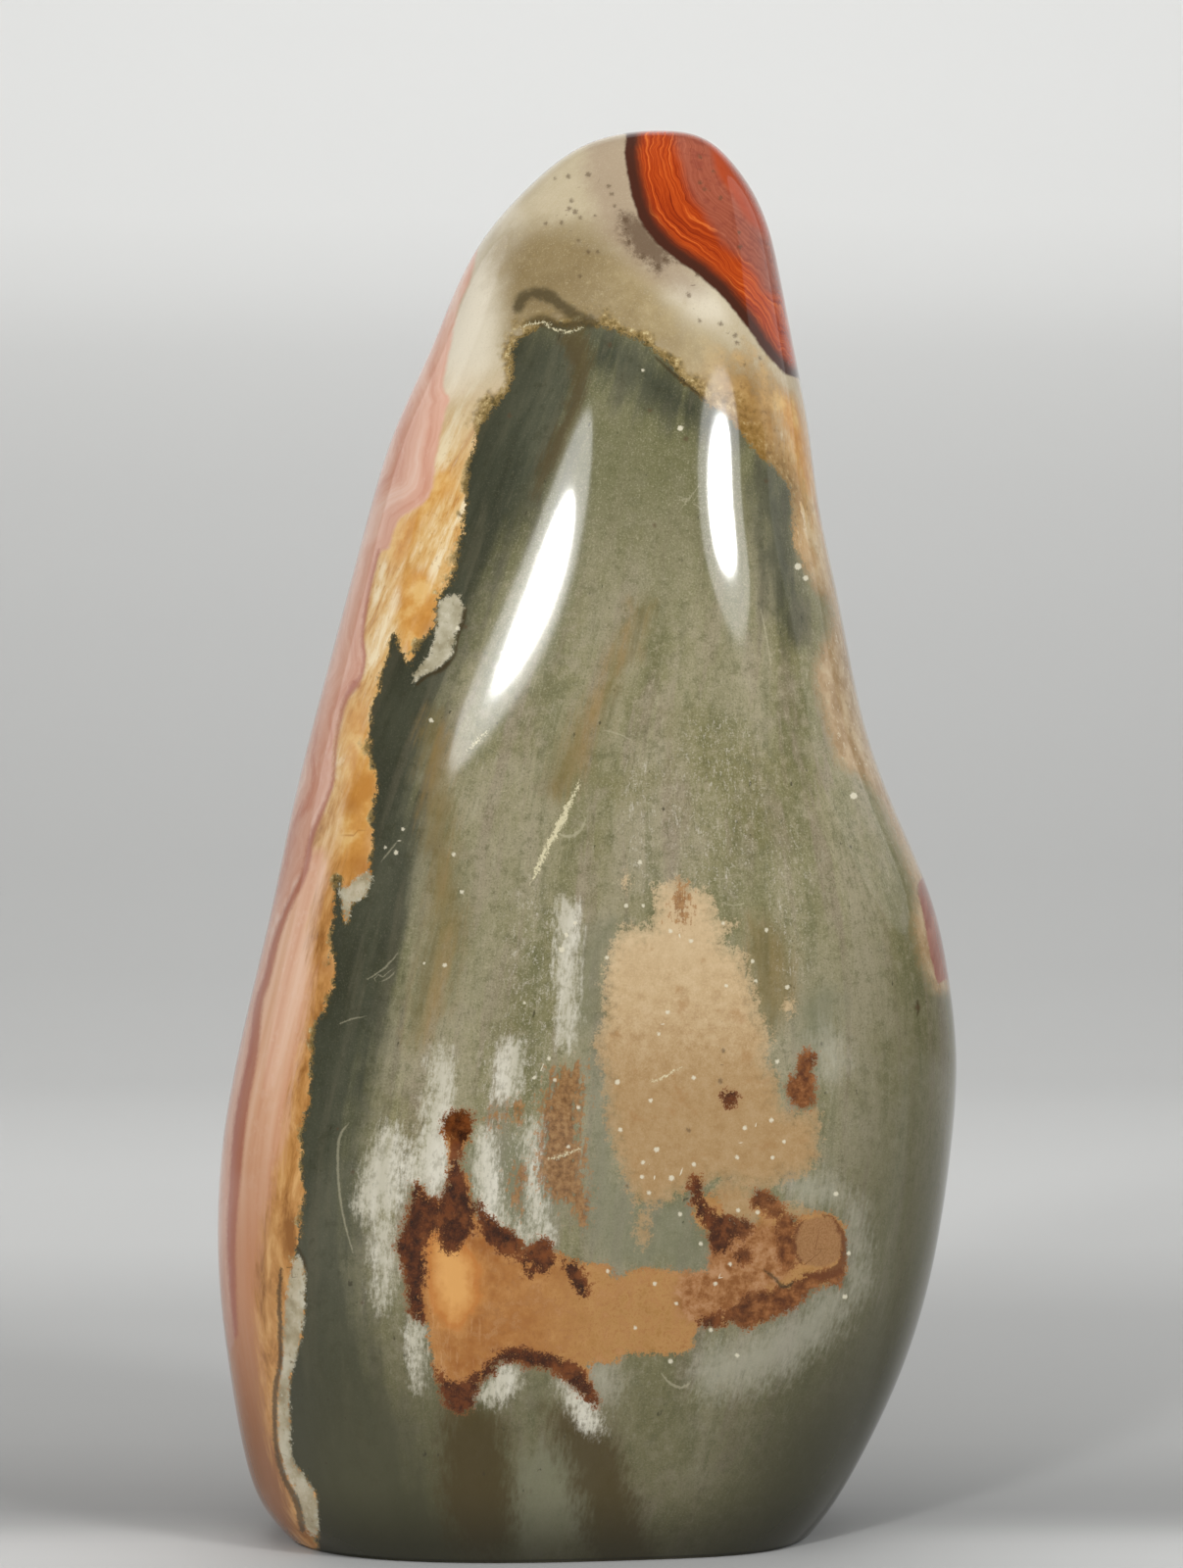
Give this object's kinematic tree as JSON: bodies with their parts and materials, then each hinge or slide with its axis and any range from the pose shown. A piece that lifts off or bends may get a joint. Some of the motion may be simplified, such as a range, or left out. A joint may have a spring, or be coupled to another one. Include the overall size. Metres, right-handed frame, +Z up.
{
  "type": "polished polychrome jasper freeform",
  "caption": "Free-standing polished jasper stone: a leaning, flattened cone with a rounded tip and a flat cut base, for display on a shelf or table.",
  "frame": {"origin": "on the ground, under the middle of the stone's bounding box", "axes": "+Z up through the stone's length, -Y out of the front face, X across the width"},
  "size_m": [0.084, 0.0512, 0.16],
  "materials": {
    "polished_jasper": "gloss polish; sage green face with tan and rust patches, cream cap with an orange and burgundy eye, salmon banded sides"
  },
  "bodies": {
    "root": {"stone": "polished_jasper"}
  },
  "joints": []
}
